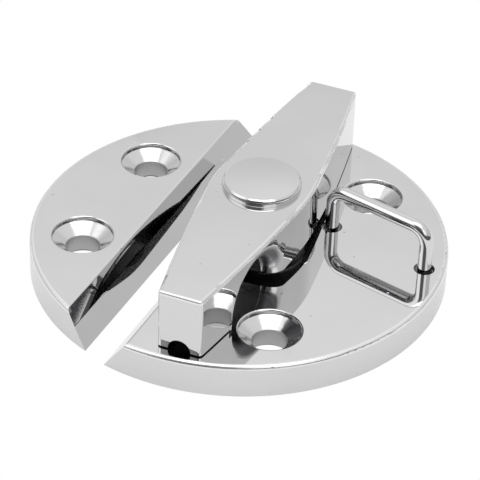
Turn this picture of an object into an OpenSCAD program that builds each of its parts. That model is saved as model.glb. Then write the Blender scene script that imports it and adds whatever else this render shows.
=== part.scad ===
// Twist button latch for a hatch or locker door, polished cast stainless steel.
// A round plate is split in two: the base plate goes on the fixed side and the
// keeper plate on the door. A bar turns on the base plate and spans the gap.
// A wire staple beside the closed bar takes a padlock, whose shackle passes
// through the arch under the bar.
// Millimetres. Origin: centre of the round plate on the mounting surface, +Z up.
// X runs across the gap from keeper to base, Y along the gap.

/* [Round plate] */
// Diameter of the split round plate
disc_d = 76; // [72:1:90]
// Thickness of both plates
plate_t = 6.4; // [5.8:0.1:8]
// Rounding of the upper rim
rim_round = 0.8; // [0.4:0.1:1.6]
// Rounding along the upper edge of each sloping cut face
cut_round = 0.6; // [0.2:0.1:1]
// Level distance that each cut face slopes over
cut_run = 4.5; // [3:0.1:6]
// From the plate's centre to the base plate's upper cut edge
base_edge = 3.3; // [2:0.1:5]
// Clear gap between the feet of the two plates
foot_gap = 4.6; // [2:0.1:6]
// How far the keeper plate stands off along the gap, as it is shown
keeper_shift = 0.6; // [0:0.1:1]

/* [Screw holes] */
// Screw hole diameter
screw_hole_d = 6.2; // [5:0.1:7]
// Countersink diameter at its straight lip
sink_d = 11; // [10:0.1:13]
// Depth of the straight lip above the countersink's cone
sink_lip = 0.55; // [0.2:0.05:1]
// Rounding of the countersink's rim
sink_round = 0.4; // [0.2:0.05:0.6]
// Included angle of the countersink's cone
sink_angle = 114; // [90:1:120]
// Small chamfer round each screw hole, under the plate
hole_foot = 0.7; // [0.3:0.1:1]
// Distance between the base plate's two holes
base_pitch = 45; // [42:0.1:48]
// From the plate's centre to the line of the base plate's holes
base_hole_x = 16.7; // [16:0.1:19]
// Distance between the keeper plate's two holes
keeper_pitch = 27; // [20:0.1:32]
// From the plate's centre to the line of the keeper plate's holes
keeper_hole_x = 25; // [24:0.1:26]

/* [Turn bar] */
// Length of the bar
bar_len = 72.5; // [68:0.5:73]
// Width at the pivot
bar_w = 18.4; // [17:0.1:20]
// Width at the flat end over the base plate
bar_end_w = 8; // [6:0.1:10]
// Width at the flat end over the keeper
bar_tip_w = 9.3; // [6:0.1:11]
// Rounding of the keeper end's corners, seen from above
tip_round = 1.9; // [0.8:0.1:2.5]
// Rounding of the other end's corners, seen from above
end_round = 0.8; // [0.4:0.1:1.5]
// Height of the bar's top above the plate
bar_rise = 11.7; // [10.5:0.1:14]
// Radius of the bulging long sides
side_r = 420; // [300:10:700]
// Radius that joins the long sides in the middle
mid_round = 34; // [20:1:40]
// Rounding of the upper edges
bar_round = 0.7; // [0.3:0.1:1.2]
// Clearance between the plates and the feet of the bar
foot_clear = 0.3; // [0.2:0.05:0.6]
// Height of the relief under the middle of the bar, above the plate
relief_rise = 2.2; // [1.8:0.1:3]
// Distance from the pivot at which the relief runs out
relief_reach = 19; // [15:0.5:22]
// Diameter of the flat pad round the pivot under the bar
pad_d = 16.4; // [15:0.1:17.6]
// How far the pad stands down from the relief
pad_drop = 0.4; // [0.3:0.05:0.6]
// Angle of the open bar to the gap, as it is shown
open_angle = 2.9; // [0:0.1:8]

/* [Shackle arch] */
// Width of the arch through the bar
arch_w = 13; // [9:0.5:14]
// Height of the arch's crown above the plate
arch_rise = 8; // [7:0.1:8.6]
// From the pivot to the middle of the arch
arch_mid = 18; // [16.5:0.1:19]
// Radius that flares the arch out to both sides of the bar
arch_flare = 3.2; // [1:0.1:3.4]
// Radius of the half-round drain groove from the arch to the near end
drain_r = 2.1; // [1.2:0.1:2.6]

/* [Pivot] */
// From the plate's centre to the pivot, across the gap
pivot_x = 3.8; // [3.6:0.1:6]
// From the plate's centre to the pivot, along the gap
pivot_y = 0.9; // [0:0.1:1.2]
// Shank diameter of the pivot stud
stud_d = 8; // [6:0.1:8.4]
// Diameter of the stud's head
head_d = 14.2; // [12:0.1:15]
// Height of the stud's head above the bar
head_h = 1.5; // [1.3:0.1:2.5]
// How far the head's top is crowned
head_crown = 0.2; // [0.1:0.05:0.5]
// Rounding of the head's upper edge
head_round = 1.0; // [0.4:0.1:1.1]
// Diameter of the stud's spigot, which is peened over the retaining washer
spigot_d = 6; // [4.5:0.1:6.4]
// Diameter of the pocket under the base plate
pocket_d = 15.6; // [15:0.1:16]
// Thickness of the base plate left above the pocket
web_t = 2.6; // [2.4:0.1:3.4]
// Play along the pivot, shared out over the friction and retaining washers
end_play = 0.05; // [0.03:0.01:0.15]
// Free height of the cone-shaped spring washer
spring_h = 1.1; // [0.9:0.05:1.3]
// Metal thickness of the spring washer
spring_t = 0.7; // [0.4:0.05:0.8]
// Thickness of the retaining washer
retainer_t = 1.0; // [0.8:0.1:1.2]
// Height of the peened end of the stud
peen_h = 1.0; // [0.6:0.1:1.2]
// Diameter of the peened end
peen_d = 8.6; // [7.8:0.1:9.4]
// Radial running clearance of the stud in the base plate
run_clear = 0.05; // [0.02:0.01:0.1]
// Radial clearance between the stud and the two loose washers on it
washer_fit = 0.2; // [0.1:0.05:0.3]
// Radial clearance between the washers and their pocket
pocket_clear = 0.8; // [0.4:0.1:1]

/* [Padlock staple] */
// Wire diameter of the staple
wire_d = 2.5; // [2:0.1:3]
// Distance between the middles of the staple's legs
staple_pitch = 20.2; // [18:0.1:20.6]
// Height of the staple above the plate, over the wire
staple_rise = 9.6; // [8:0.1:11]
// Radius of the staple's upper bends, to the middle of the wire
staple_bend = 3; // [2.5:0.1:4.5]
// From the staple's outer leg to the plate's rim, along the closed bar
leg_inset = 4.5; // [4:0.1:5.2]
// Clearance between the wire and the closed bar's side
staple_clear = 0.2; // [0.15:0.05:0.6]
// Angle that the bar turns through from the gap's line until it is closed
closed_angle = 86.8; // [84:0.2:88]
// Diameter of the holes that the staple's legs pass through
leg_hole_d = 3.8; // [3.4:0.1:4]
// Radius of the clinch bends below the plate, to the middle of the wire
clinch_bend = 2.5; // [2.4:0.1:2.8]
// Length of wire past each clinch bend
clinch_tail = 4; // [2:0.5:5]
// Clearance between the clinched wire and the mounting surface
clinch_lift = 0.25; // [0.1:0.05:0.4]
// Clearance between the clinched wire and the groove's roof
clinch_clear = 0.3; // [0.2:0.05:0.5]

/* [Hidden] */

polish = [0.80, 0.80, 0.81];
black_nylon = [0.06, 0.06, 0.065];
spring_steel = [0.62, 0.62, 0.60];

eps = 0.01;
over = 1;                                   // how far a cutter runs past a face
seat = 0.02;                                // radial fit of parts that turn as one
disc_r = disc_d/2;
keeper_edge = base_edge + 2*cut_run + foot_gap;

bar_base = plate_t + foot_clear;
bar_top = plate_t + bar_rise;
relief_top = plate_t + relief_rise;
half_len = bar_len/2;
half_w = bar_w/2;
half_end = bar_end_w/2;
half_tip = bar_tip_w/2;
// The relief's arc runs from its top down to the bar's feet.
relief_sag = relief_top - bar_base;
relief_r = (relief_reach*relief_reach + relief_sag*relief_sag)/(2*relief_sag);
pad_face = relief_top - pad_drop;

arch_r = arch_w/2;
arch_centre = plate_t + arch_rise - arch_r;

web_face = plate_t - web_t;
spring_base = web_face - spring_h;
retainer_base = spring_base - end_play - retainer_t;

wire_r = wire_d/2;
wire_axis_top = plate_t + staple_rise - wire_r;
clinch_axis = clinch_lift + wire_r;
clinch_roof = clinch_lift + wire_d + clinch_clear;
leg_foot = clinch_axis + clinch_bend;
// The staple stands parallel to the closed bar's side, a wire's radius and the
// clearance away from the arc of that side.
staple_mid = disc_r - pivot_x - leg_inset - staple_pitch/2;
staple_reach = side_r + wire_r + staple_clear;
staple_turn = side_slope(staple_mid, staple_reach);

// Shape of the bar's long sides, seen from above with Y along the bar

// The centre of the arc that is the right-hand side of one end. The arc goes
// through the end's corner and touches the arc of the rounded middle.
function side_centre(half_far) =
    let (middle = [half_w - mid_round, 0],
         corner = [half_far, half_len] - middle,
         apart = norm(corner),
         inner = side_r - mid_round,
         part = (inner*inner - side_r*side_r + apart*apart)/(2*apart),
         rest = sqrt(inner*inner - part*part))
        middle + (part*corner + rest*[-corner.y, corner.x])/apart;

// How far the side of the arch's end has turned at a distance from the pivot,
// met by a given radius round the side's centre.
function side_slope(along, radius) = asin((along - side_centre(half_end).y)/radius);

// Shared shapes

// The round plate with its rounded upper rim.
module round_plate() {
    rotate_extrude($fn = 240) {
        square([disc_r, plate_t - rim_round]);
        square([disc_r - rim_round, plate_t]);
        translate([disc_r - rim_round, plate_t - rim_round])
            intersection() {
                circle(r = rim_round, $fn = 48);
                square(rim_round + eps);
            }
    }
}

// Everything to the right of a cut face that slopes from foot to edge, with a
// rounded upper edge. The upper edge lies at x = 0, the foot at x = -cut_run.
module kept_side() {
    face = norm([cut_run, plate_t]);
    mid = [cut_round*(face - cut_run)/plate_t, plate_t - cut_round];
    tangent = mid + cut_round*[-plate_t/face, cut_run/face];
    translate([0, disc_r + over, 0])
        rotate([90, 0, 0])
            linear_extrude(disc_d + 2*over)
                difference() {
                    polygon([[-cut_run, 0], [0, plate_t], [disc_d, plate_t], [disc_d, 0]]);
                    difference() {
                        polygon([tangent, [-over, plate_t + over],
                            [mid.x, plate_t + over], [mid.x, plate_t]]);
                        translate(mid)
                            circle(r = cut_round, $fn = 64);
                    }
                }
}

// A countersunk screw hole, its mouth at the plate's upper face. A straight lip
// with a rounded rim leads into the cone, and the foot has a small chamfer.
module screw_hole() {
    hole_r = screw_hole_d/2;
    sink_r = sink_d/2;
    cone_top = plate_t - sink_lip - sink_round;
    cone_foot = cone_top - (sink_r - hole_r)/tan(sink_angle/2);
    rotate_extrude($fn = 96) {
        polygon([
            [0, -over],
            [hole_r + hole_foot + over, -over],
            [hole_r, hole_foot],
            [hole_r, cone_foot],
            [sink_r, cone_top],
            [sink_r, plate_t + over],
            [0, plate_t + over]
        ]);
        translate([sink_r, plate_t])
            difference() {
                translate([-eps, -sink_round])
                    square([sink_round + eps, sink_round + over]);
                translate([sink_round, -sink_round])
                    circle(r = sink_round, $fn = 48);
            }
    }
}

module screw_hole_pair(pitch) {
    for (side = [-1, 1])
        translate([0, side*pitch/2, 0])
            screw_hole();
}

// Moves the wire's frame to the middle of the staple: X along the staple.
module at_staple() {
    translate([pivot_x, pivot_y, 0])
        rotate(closed_angle - 90)
            translate([staple_mid, side_centre(half_end).x + staple_reach*cos(staple_turn), 0])
                rotate(-staple_turn)
                    children();
}

// A quarter bend of the wire. It starts at the origin, goes up and turns to +X.
module wire_bend(radius) {
    translate([radius, 0, 0])
        rotate([90, 0, 0])
            rotate([0, 0, 90])
                rotate_extrude(angle = 90, $fn = 96)
                    translate([radius, 0])
                        circle(r = wire_r, $fn = 48);
}

// Plates

module base_plate() {
    color(polish)
        difference() {
            intersection() {
                round_plate();
                translate([-base_edge, 0, 0])
                    kept_side();
            }
            translate([base_hole_x, 0, 0])
                screw_hole_pair(base_pitch);
            translate([pivot_x, pivot_y, -over]) {
                cylinder(d = stud_d + 2*run_clear, h = plate_t + 2*over, $fn = 96);
                cylinder(d = pocket_d, h = web_face + over, $fn = 96);
            }
            staple_seat();
        }
}

// Two leg holes, and the groove under the plate that the clinched ends lie in.
module staple_seat() {
    at_staple() {
        for (side = [-1, 1])
            translate([side*staple_pitch/2, 0, -over])
                cylinder(d = leg_hole_d, h = plate_t + 2*over, $fn = 64);
        translate([-staple_pitch/2, -leg_hole_d/2, -over])
            cube([staple_pitch, leg_hole_d, clinch_roof + over]);
    }
}

module keeper_plate() {
    color(polish)
        difference() {
            intersection() {
                translate([0, keeper_shift, 0])
                    round_plate();
                translate([-keeper_edge, 0, 0])
                    mirror([1, 0, 0])
                        kept_side();
            }
            translate([-keeper_hole_x, keeper_shift, 0])
                screw_hole_pair(keeper_pitch);
        }
}

// Turn bar. Its own frame has Y along the bar, away from the staple's arch.

module turn_bar() {
    color(polish)
        translate([pivot_x, pivot_y, 0])
            rotate(open_angle)
                difference() {
                    bar_body();
                    underside_relief();
                    shackle_arch();
                    drain_groove();
                    translate([0, 0, plate_t])
                        cylinder(d = stud_d + 2*seat, h = bar_rise + over, $fn = 96);
                }
}

// The body is made of its rounded middle and two tapering ends, which meet
// where the arcs of the sides touch.
module bar_body() {
    difference() {
        both_sides()
            edge_disc([half_w - mid_round, 0], mid_round);
        beyond_middle(half_tip);
        mirror([0, 1, 0])
            beyond_middle(half_end);
    }
    tapered_end(half_tip, tip_round);
    mirror([0, 1, 0])
        tapered_end(half_end, end_round);
}

// What a shape and its mirror image across the bar have in common.
module both_sides() {
    intersection() {
        children();
        mirror([1, 0, 0])
            children();
    }
}

// A disc with a rounded upper edge, from the bar's feet to its top.
module edge_disc(centre, radius) {
    translate([centre.x, centre.y, bar_base])
        rotate_extrude($fn = 720)
            rounded_half(radius, bar_top - bar_base, bar_round);
}

// The end's side of the two planes on which the side arcs touch the middle's.
module beyond_middle(half_far) {
    centre = side_centre(half_far);
    middle_x = half_w - mid_round;
    slope = -centre.y/(middle_x - centre.x);
    translate([0, 0, bar_base - over])
        linear_extrude(bar_top - bar_base + 2*over)
            polygon([
                [0, -slope*middle_x],
                [bar_w, slope*(bar_w - middle_x)],
                [bar_w, bar_len],
                [-bar_w, bar_len],
                [-bar_w, slope*(bar_w - middle_x)]
            ]);
}

module tapered_end(half_far, corner_r) {
    difference() {
        intersection() {
            end_slab();
            beyond_middle(half_far);
            both_sides()
                edge_disc(side_centre(half_far), side_r);
        }
        end_corner(half_far, corner_r);
        mirror([1, 0, 0])
            end_corner(half_far, corner_r);
    }
}

// What goes to round one corner of an end, seen from above. The arc touches
// the end face and the side.
module end_corner(half_far, corner_r) {
    centre = side_centre(half_far);
    reach = side_r - corner_r;
    rise = half_len - corner_r - centre.y;
    middle = [centre.x + sqrt(reach*reach - rise*rise), half_len - corner_r];
    outward = (middle - centre)/reach;
    translate([middle.x, middle.y, bar_base - over])
        linear_extrude(bar_top - bar_base + 2*over)
            difference() {
                polygon([
                    [0, 0],
                    [0, corner_r + over],
                    [corner_r + over, corner_r + over],
                    (corner_r + over)*outward
                ]);
                circle(r = corner_r, $fn = 64);
            }
}

// A rectangle from the axis out to a radius, with its upper corner rounded.
module rounded_half(radius, height, corner) {
    square([radius, height - corner]);
    square([radius - corner, height]);
    translate([radius - corner, height - corner])
        intersection() {
            circle(r = corner, $fn = 48);
            square(corner + eps);
        }
}

module end_slab() {
    translate([-bar_w, 0, bar_base])
        rotate([90, 0, 90])
            linear_extrude(2*bar_w) {
                rounded_half(half_len, bar_top - bar_base, bar_round);
                mirror([1, 0])
                    rounded_half(half_len, bar_top - bar_base, bar_round);
            }
}

// A shallow arc under the bar. It leaves a flat pad round the pivot.
module underside_relief() {
    difference() {
        translate([-bar_w, 0, relief_top - relief_r])
            rotate([0, 90, 0])
                cylinder(r = relief_r, h = 2*bar_w, $fn = 360);
        translate([0, 0, pad_face])
            cylinder(d = pad_d, h = relief_rise, $fn = 96);
    }
}

// The way through the bar for a padlock's shackle: an arch that flares out to
// both sides.
module shackle_arch() {
    translate([0, -arch_mid, 0]) {
        translate([-bar_w, -arch_r, 0])
            cube([2*bar_w, arch_w, arch_centre]);
        translate([-bar_w, 0, arch_centre])
            rotate([0, 90, 0])
                cylinder(r = arch_r, h = 2*bar_w, $fn = 96);
        for (across = [-1, 1])
            arch_mouth(across);
    }
}

// The flare at one side. It turns with the side's slope, so that its outer
// width is met all along the side.
module arch_mouth(across) {
    turn = side_slope(arch_mid, side_r);
    translate([across*(side_centre(half_end).x + side_r*cos(turn)), 0, arch_centre])
        rotate([0, 0, -across*turn])
            scale([across, 1, 1]) {
                rotate([0, 90, 0])
                    rotate_extrude($fn = 96)
                        flare_profile();
                rotate([0, 0, 90])
                    translate([0, 0, -bar_top])
                        linear_extrude(bar_top) {
                            flare_profile();
                            mirror([1, 0])
                                flare_profile();
                        }
            }
}

// Half of the flare's outline: radius across, depth down, side face at y = 0.
module flare_profile() {
    difference() {
        translate([0, -arch_flare])
            square([arch_r + arch_flare, arch_flare + over]);
        translate([arch_r + arch_flare, -arch_flare])
            circle(r = arch_flare, $fn = 96);
        translate([arch_r + arch_flare - eps, -arch_flare])
            square([over, arch_flare + 2*over]);
    }
}

module drain_groove() {
    translate([0, -arch_mid, bar_base])
        rotate([90, 0, 0])
            cylinder(r = drain_r, h = half_len, $fn = 64);
}

// Pivot

module pivot_stud() {
    head_r = head_d/2;
    crown_r = (head_r*head_r + head_crown*head_crown)/(2*head_crown);
    color(polish)
        translate([pivot_x, pivot_y, 0]) {
            translate([0, 0, spring_base - end_play])
                cylinder(d = stud_d, h = bar_top - spring_base + end_play + eps, $fn = 96);
            translate([0, 0, bar_top])
                rotate_extrude($fn = 120)
                    intersection() {
                        rounded_half(head_r, head_h, head_round);
                        translate([0, head_h - crown_r])
                            circle(r = crown_r, $fn = 720);
                    }
            translate([0, 0, retainer_base - eps])
                cylinder(d = spigot_d, h = retainer_t + 2*eps, $fn = 96);
            translate([0, 0, retainer_base - peen_h])
                peened_end();
        }
}

// The stud's end, spread over the washer with a hammered edge.
module peened_end() {
    rotate_extrude($fn = 96)
        polygon([
            [0, 0],
            [peen_d/2 - peen_h/2, 0],
            [peen_d/2, peen_h/2],
            [peen_d/2, peen_h],
            [0, peen_h]
        ]);
}

module friction_washer() {
    color(black_nylon)
        translate([pivot_x, pivot_y, plate_t])
            ring(pad_d, stud_d + 2*washer_fit, pad_face - end_play - plate_t);
}

module retaining_washer() {
    color(polish)
        translate([pivot_x, pivot_y, retainer_base])
            ring(pocket_d - 2*pocket_clear, spigot_d + 2*seat, retainer_t);
}

module ring(outer_d, inner_d, height) {
    difference() {
        cylinder(d = outer_d, h = height, $fn = 96);
        translate([0, 0, -over])
            cylinder(d = inner_d, h = height + 2*over, $fn = 96);
    }
}

// A shallow cone: its small end bears on the retaining washer's side.
module spring_washer() {
    inner_r = stud_d/2 + washer_fit;
    outer_r = pocket_d/2 - pocket_clear;
    dish = spring_h - spring_t;
    color(spring_steel)
        translate([pivot_x, pivot_y, spring_base])
            rotate_extrude($fn = 96)
                polygon([
                    [inner_r, 0],
                    [outer_r, dish],
                    [outer_r, spring_h],
                    [inner_r, spring_t]
                ]);
}

// Padlock staple

// One length of wire: up from a clinched tail, over the top and down again.
module padlock_staple() {
    color(polish)
        at_staple() {
            staple_half();
            mirror([1, 0, 0])
                staple_half();
        }
}

module staple_half() {
    leg_x = -staple_pitch/2;
    bend_foot = wire_axis_top - staple_bend;
    translate([leg_x, 0, leg_foot])
        cylinder(r = wire_r, h = bend_foot - leg_foot, $fn = 48);
    translate([leg_x, 0, bend_foot])
        wire_bend(staple_bend);
    translate([leg_x + staple_bend, 0, wire_axis_top])
        rotate([0, 90, 0])
            cylinder(r = wire_r, h = staple_pitch/2 - staple_bend, $fn = 48);
    translate([leg_x, 0, leg_foot])
        mirror([0, 0, 1])
            wire_bend(clinch_bend);
    translate([leg_x + clinch_bend, 0, clinch_axis])
        rotate([0, 90, 0])
            cylinder(r = wire_r, h = clinch_tail, $fn = 48);
}

base_plate();
keeper_plate();
turn_bar();
pivot_stud();
friction_washer();
spring_washer();
retaining_washer();
padlock_staple();
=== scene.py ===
import math

import bpy
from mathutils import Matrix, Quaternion, Vector


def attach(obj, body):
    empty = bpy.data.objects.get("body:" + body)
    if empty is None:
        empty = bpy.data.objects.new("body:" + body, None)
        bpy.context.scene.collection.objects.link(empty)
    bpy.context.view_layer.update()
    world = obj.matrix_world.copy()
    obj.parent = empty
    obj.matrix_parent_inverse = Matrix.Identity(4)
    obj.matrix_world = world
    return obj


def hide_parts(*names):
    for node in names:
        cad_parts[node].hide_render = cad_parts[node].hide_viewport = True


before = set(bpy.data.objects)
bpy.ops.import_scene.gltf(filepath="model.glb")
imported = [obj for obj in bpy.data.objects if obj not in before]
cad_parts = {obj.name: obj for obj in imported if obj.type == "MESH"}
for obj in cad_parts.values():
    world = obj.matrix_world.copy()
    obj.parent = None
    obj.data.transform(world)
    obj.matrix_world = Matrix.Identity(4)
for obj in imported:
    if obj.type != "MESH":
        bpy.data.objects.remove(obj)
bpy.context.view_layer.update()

# A twist button latch of mirror-polished cast steel, on a white table in a white studio.
# Metres. The frame is the latch's own: X from the keeper plate to the base plate,
# Y along the gap between them, Z up from the mounting surface.

MM = 0.001

# The steel's tones, and the share of its tone that is left where it is clouded
STEEL_TONE = (0.68, 0.68, 0.685)
CLOUD_SHADE = 0.955
# painted highlight: a lighter tone on the rounded edges
EDGE_HIGHLIGHT_TONE = (0.82, 0.82, 0.825)
# painted shade: a darker tone in the bores and in the casting pits
BORE_SHADE_TONE = (0.49, 0.49, 0.495)
# painted shade: a dark tone on the downward-facing undersides
UNDERSIDE_SHADE_TONE = (0.16, 0.16, 0.165)

# The latch's sizes, where its finish changes. All that lies left of KEEPER_X is the keeper plate.
LIP_RADIUS = 5.5 * MM
BORE_RADIUS = 3.1 * MM
BASE_HOLE = (16.7 * MM, 22.5 * MM)
KEEPER_HOLE = (-25.0 * MM, 13.5 * MM)
KEEPER_SHIFT = 0.6 * MM
KEEPER_X = -10.0 * MM
PLATE_RADIUS = 38.0 * MM
PLATE_TOP = 6.4 * MM
BAR_TOP = 18.1 * MM
CAP_TOP = 19.6 * MM
RING_PITCH = 0.32 * MM

# Corners nearer than this are one corner, and faces that meet flatter than this shade as one
MERGE_DISTANCE = 0.002 * MM
SMOOTH_ANGLE = 35

# The camera
CAMERA_PLACE = Vector((0.14713, -0.32527, 0.26425))
CAMERA_TARGET = Vector((-0.00271, 0.00672, 0.0))
CAMERA_ROLL = 2.0
CAMERA_LENS = 182.7
MIRROR_BOUNCES = 12

# The studio. Directions are degrees round from -Y towards +X, and degrees up.
# A soft field is degrees round from the camera, degrees up, and its inner and outer radius.
CAMERA_AROUND = 24.3
DARK_OPENING = (-20, 34, 14, 30)
LEFT_FIELD = (-78, 40, 12, 28)
RIGHT_FIELD = (26, 36, 8, 20)


def deselect_all():
    for thing in bpy.context.selected_objects:
        thing.select_set(False)


class Nodes:
    """A material's or the world's node tree, and short ways to add nodes to it."""

    def __init__(self, owner):
        self.tree = owner.node_tree
        self.tree.nodes.clear()

    def add(self, kind, inputs=(), output=0, **settings):
        node = self.tree.nodes.new("ShaderNode" + kind)
        for name, value in settings.items():
            setattr(node, name, value)
        for name, value in dict(inputs).items():
            socket = node.inputs[name]
            if isinstance(value, Value):
                self.tree.links.new(value.socket, socket)
            else:
                socket.default_value = value
        return Value(self, node.outputs[output]) if node.outputs else node

    def noise(self, point, scale, detail):
        return self.add("TexNoise", {"Vector": point, "Scale": scale, "Detail": detail})

    def mix(self, share, first, second):
        """The first colour where share is 0, the second where it is 1."""
        return self.add("Mix", {0: share, 6: first, 7: second}, output=2, data_type="RGBA")


class Value:
    """A socket that can be added, multiplied and compared like a number."""

    def __init__(self, nodes, socket):
        self.nodes = nodes
        self.socket = socket

    def math(self, operation, *others):
        return self.nodes.add("Math", dict(enumerate((self, *others))), operation=operation)

    def output(self, name):
        return Value(self.nodes, self.socket.node.outputs[name])

    def __add__(self, other):
        return self.math("ADD", other)

    def __sub__(self, other):
        return self.math("SUBTRACT", other)

    def __rsub__(self, other):
        return self.nodes.add("Math", {0: other, 1: self}, operation="SUBTRACT")

    def __mul__(self, other):
        return self.math("MULTIPLY", other)

    def __abs__(self):
        return self.math("ABSOLUTE")

    __radd__ = __add__
    __rmul__ = __mul__

    def step(self, low, high):
        """0 up to low, 1 from high on, and smooth between them."""
        return self.nodes.add("MapRange", {"Value": self, "From Min": low, "From Max": high},
                              interpolation_type="SMOOTHSTEP")

    def band(self, low, low_end, high, high_end):
        """1 between low_end and high, 0 below low and above high_end, and smooth between."""
        return self.step(low, low_end) * (1.0 - self.step(high, high_end))


def new_material(name):
    material = bpy.data.materials.new(name)
    material.use_nodes = True
    return material, Nodes(material)


def opaque(tone):
    return (*tone, 1)


def object_place(nodes):
    """The point on the piece, and its x, y and z."""
    point = nodes.add("TexCoord", output="Object")
    split = nodes.add("SeparateXYZ", {"Vector": point})
    return point, split, split.output("Y"), split.output("Z")


def from_hole(x, y, hole):
    """Distance from the nearer of two holes that lie at equal distances from the X axis."""
    across = x - hole[0]
    along = abs(y) - hole[1]
    return (across * across + along * along).math("SQRT")


def from_nearest_hole(x, y):
    """Distance from the axis of the nearest screw hole."""
    base_hole = from_hole(x, y, BASE_HOLE)
    keeper_hole = from_hole(x, y - KEEPER_SHIFT, KEEPER_HOLE)
    return base_hole.math("MINIMUM", keeper_hole)


def plate_edge(x, y, z):
    """1 on the rounded edge of the plates' rim, 0 elsewhere."""
    along = y - KEEPER_SHIFT * x.math("LESS_THAN", KEEPER_X)
    from_centre = (x * x + along * along).math("SQRT")
    at_rim = from_centre.step(PLATE_RADIUS - 0.85 * MM, PLATE_RADIUS - 0.7 * MM)
    return at_rim * z.step(PLATE_TOP - 0.85 * MM, PLATE_TOP - 0.75 * MM)


def bar_edge(z):
    """1 on the rounded upper edges of the bar, 0 elsewhere."""
    return z.band(BAR_TOP - 0.75 * MM, BAR_TOP - 0.65 * MM, BAR_TOP - 0.03 * MM, BAR_TOP - 0.01 * MM)


def cap_side(z):
    """1 on the side and rounded edge of the stud's cap, 0 elsewhere."""
    return z.band(BAR_TOP + 0.02 * MM, BAR_TOP + 0.08 * MM, CAP_TOP - 0.40 * MM, CAP_TOP - 0.22 * MM)


def facing_down(nodes):
    """1 on the unpolished undersides, whose colour is also painted dark as shade, 0 on all that
    faces sideways or up.
    """
    normal = nodes.add("NewGeometry", output="Normal")
    return 1.0 - nodes.add("SeparateXYZ", {"Vector": normal}, output="Z").step(-0.35, -0.08)


def cast_pits(nodes, point):
    """1 in the few small pits that the casting left, 0 elsewhere."""
    cells = nodes.add("TexVoronoi", {"Vector": point, "Scale": 420.0}, output="Distance")
    chosen = nodes.add("SeparateColor", {"Color": cells.output("Color")})
    return (1.0 - cells.step(0.05, 0.15)) * chosen.step(0.86, 0.88)


def surface(nodes, colour, roughness, height, metallic=1.0):
    """The finish itself. The height of its unevenness is in metres."""
    normal = nodes.add("Bump", {"Height": height, "Distance": 1.0, "Strength": 1.0})
    shader = nodes.add("BsdfPrincipled", {"Base Color": colour, "Metallic": metallic,
                                          "Roughness": roughness, "Normal": normal})
    nodes.add("OutputMaterial", {"Surface": shader})


def polished_steel(name, holes=False, cast_and_shade=1.0):
    """Mirror-polished steel, for the plates with their screw holes or for the pieces without."""
    material, nodes = new_material(name)
    point, x, y, z = object_place(nodes)
    clouds = nodes.noise(point, 70.0, 2.0)
    smear = nodes.noise(point, 320.0, 4.0)
    waves = nodes.noise(point, 130.0, 1.0)
    grain = nodes.noise(point, 1500.0, 3.0)
    pits = cast_pits(nodes, point)
    # the undersides are rough as cast and painted dark as shade
    cast_and_shaded = facing_down(nodes) * cast_and_shade
    # the rounded edges are rougher with wear, and painted lighter as a highlight
    worn_and_highlit = plate_edge(x, y, z) if holes else bar_edge(z)

    # The countersinks are turned and smeared, and the bores under them are dull and painted darker
    # as shade
    from_axis = from_nearest_hole(x, y)
    in_sink = (1.0 - from_axis.step(LIP_RADIUS - 0.15 * MM, LIP_RADIUS)) * float(holes)
    in_bore = (1.0 - from_axis.step(BORE_RADIUS + 0.05 * MM, BORE_RADIUS + 0.2 * MM)) * float(holes)
    rings = (from_axis * (2 * math.pi / RING_PITCH)).math("SINE")

    clouded = opaque(tone * CLOUD_SHADE for tone in STEEL_TONE)
    colour = nodes.mix(clouds.step(0.25, 0.75), clouded, opaque(STEEL_TONE))
    # painted shade darkens the bores and the casting pits
    colour = nodes.mix(in_bore + 0.7 * pits, colour, opaque(BORE_SHADE_TONE))
    colour = nodes.mix(worn_and_highlit, colour, opaque(EDGE_HIGHLIGHT_TONE))
    # painted shade darkens the undersides
    colour = nodes.mix(cast_and_shaded, colour, opaque(UNDERSIDE_SHADE_TONE))
    roughness = 0.018 + 0.012 * smear + in_sink * (0.07 + 0.10 * smear)
    roughness = roughness + 0.25 * in_bore + worn_and_highlit * (0.20 + 0.08 * smear) + 0.40 * cast_and_shaded
    height = 6e-6 * waves + 1e-7 * grain - 3e-5 * pits
    height = height + in_sink * (9e-6 * smear + 1.6e-6 * rings)
    if not holes:
        on_cap = cap_side(z)
        height = height + 7e-5 * on_cap * nodes.noise(point, 600.0, 2.0)
        roughness = roughness + 0.06 * on_cap
    surface(nodes, colour, roughness, height)
    return material


def black_nylon():
    material, nodes = new_material("black_nylon")
    point, _, _, _ = object_place(nodes)
    scuffs = nodes.noise(point, 600.0, 5.0)
    colour = nodes.mix(scuffs.step(0.45, 0.8), (0.012, 0.012, 0.013, 1), (0.045, 0.045, 0.047, 1))
    surface(nodes, colour, 0.35 + 0.3 * scuffs, 1e-5 * scuffs, metallic=0.0)
    return material


def spring_steel():
    material, nodes = new_material("spring_steel")
    point, _, _, _ = object_place(nodes)
    stains = nodes.noise(point, 200.0, 3.0)
    grain = nodes.noise(point, 2500.0, 2.0)
    colour = nodes.mix(stains, (0.42, 0.41, 0.40, 1), (0.56, 0.55, 0.53, 1))
    surface(nodes, colour, 0.25 + 0.15 * grain, 2e-6 * grain)
    return material


def direction(around, up):
    a = math.radians(around)
    e = math.radians(up)
    return Vector((math.sin(a) * math.cos(e), -math.cos(a) * math.cos(e), math.sin(e)))


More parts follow.
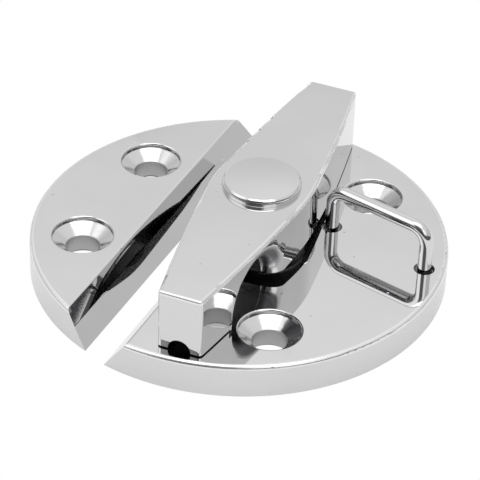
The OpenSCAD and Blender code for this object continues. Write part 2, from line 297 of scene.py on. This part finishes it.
def white_table():
    """A table that is white to the camera, and pale lit paper to half of what is mirrored."""
    bpy.ops.mesh.primitive_plane_add(size=6.0, location=(0, 0, 0))
    table = bpy.context.object
    table.name = "table"
    material, nodes = new_material("white_table")
    paths = nodes.add("LightPath", output="Is Camera Ray")
    seen = paths.math("MAXIMUM", paths.output("Is Transmission Ray"))
    seen = seen.math("MAXIMUM", 0.5 * paths.output("Is Glossy Ray"))
    paper = nodes.add("BsdfDiffuse", {"Color": (0.9, 0.9, 0.9, 1)})
    white = nodes.add("Emission", {"Color": (1, 1, 1, 1), "Strength": 1.0})
    both = nodes.add("MixShader", {0: seen, 1: paper, 2: white})
    nodes.add("OutputMaterial", {"Surface": both})
    table.data.materials.append(material)


def soft_field(nodes, look, around, up, inner, outer):
    """1 within an angle of a direction, 0 beyond a wider one, and smooth between them."""
    near = nodes.add("VectorMath", {0: look, 1: direction(CAMERA_AROUND + around, up)},
                     output="Value", operation="DOT_PRODUCT")
    return near.step(math.cos(math.radians(outer)), math.cos(math.radians(inner)))


def studio_world():
    """A white tent with a dark hem, a dark opening near the camera and two bright fields."""
    world = bpy.data.worlds.new("studio")
    bpy.context.scene.world = world
    world.use_nodes = True
    nodes = Nodes(world)
    look = nodes.add("TexCoord", output="Generated")
    up = nodes.add("SeparateXYZ", {"Vector": look}, output="Z")
    ahead = nodes.add("VectorMath", {0: look, 1: direction(CAMERA_AROUND, 0)},
                      output="Value", operation="DOT_PRODUCT")
    hem = 0.30 * ahead.step(-0.3, 0.7)
    wall = (up - hem).step(math.sin(math.radians(1)), math.sin(math.radians(6)))
    back = 1.0 - 0.16 * ahead.step(-0.76, -0.5)
    tent = 0.13 + wall * (0.67 + 0.26 * up.step(0.45, 0.72)) * back
    opening = 1.0 - 0.8 * soft_field(nodes, look, *DARK_OPENING)
    left = 0.8 * soft_field(nodes, look, *LEFT_FIELD)
    right = 0.6 * soft_field(nodes, look, *RIGHT_FIELD)
    paths = nodes.add("LightPath", output="Is Camera Ray")
    shade = nodes.add("Mix", {0: paths, 2: tent * opening + left + right, 3: 1.0})
    background = nodes.add("Background", {"Color": (1, 1, 1, 1), "Strength": shade})
    nodes.add("OutputWorld", {"Surface": background})


def softbox(name, around, up, distance, width, height, strength):
    """A lamp that shines from a direction with the given radiance."""
    data = bpy.data.lights.new(name, "AREA")
    data.shape = "RECTANGLE"
    data.size = width
    data.size_y = height
    data.energy = strength * math.pi * width * height
    lamp = bpy.data.objects.new(name, data)
    bpy.context.scene.collection.objects.link(lamp)
    away = direction(around, up)
    lamp.location = away * distance
    lamp.rotation_euler = (-away).to_track_quat("-Z", "Y").to_euler()


def photo_camera():
    data = bpy.data.cameras.new("camera")
    data.lens = CAMERA_LENS
    data.sensor_width = 36.0
    camera = bpy.data.objects.new("camera", data)
    bpy.context.scene.collection.objects.link(camera)
    camera.location = CAMERA_PLACE
    level = (CAMERA_TARGET - CAMERA_PLACE).to_track_quat("-Z", "Y")
    camera.rotation_mode = "QUATERNION"
    camera.rotation_quaternion = level @ Quaternion((0, 0, 1), math.radians(CAMERA_ROLL))
    bpy.context.scene.camera = camera


def finish_node(node, material):
    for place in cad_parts[node].material_slots:
        place.material = material


def merged_copy(node, body):
    """A copy of a CAD node with its faces joined, so that its rounded edges shade evenly."""
    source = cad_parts[node]
    deselect_all()
    piece = source.copy()
    piece.data = source.data.copy()
    piece.name = node + "_finished"
    place = source.matrix_world.copy()
    piece.parent = None
    piece.matrix_world = place
    bpy.context.scene.collection.objects.link(piece)
    piece.select_set(True)
    bpy.context.view_layer.objects.active = piece
    bpy.ops.object.transform_apply(location=True, rotation=True, scale=True)
    bpy.ops.object.mode_set(mode="EDIT")
    bpy.ops.mesh.select_all(action="SELECT")
    bpy.ops.mesh.remove_doubles(threshold=MERGE_DISTANCE)
    bpy.ops.object.mode_set(mode="OBJECT")
    bpy.ops.mesh.customdata_custom_splitnormals_clear()
    bpy.ops.object.shade_smooth_by_angle(angle=math.radians(SMOOTH_ANGLE))
    weights = piece.modifiers.new("even_shading", "WEIGHTED_NORMAL")
    weights.keep_sharp = True
    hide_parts(node)
    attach(piece, body)


bpy.context.scene.view_settings.view_transform = "Standard"
bpy.context.scene.cycles.glossy_bounces = MIRROR_BOUNCES
deselect_all()
photo_camera()
white_table()
studio_world()
softbox("front_softbox", CAMERA_AROUND, up=76, distance=0.8, width=0.60, height=0.44, strength=1.8)

plate_steel = polished_steel("plate_steel", holes=True)
bar_steel = polished_steel("bar_steel")
wire_steel = polished_steel("wire_steel", cast_and_shade=0.4)
for node_name in ("base_plate", "keeper_plate"):
    finish_node(node_name, plate_steel)
for node_name in ("turn_bar", "pivot_stud", "retaining_washer"):
    finish_node(node_name, bar_steel)
finish_node("padlock_staple", wire_steel)
finish_node("friction_washer", black_nylon())
finish_node("spring_washer", spring_steel())

merged_copy("base_plate", "plates")
merged_copy("keeper_plate", "plates")
merged_copy("turn_bar", "button")
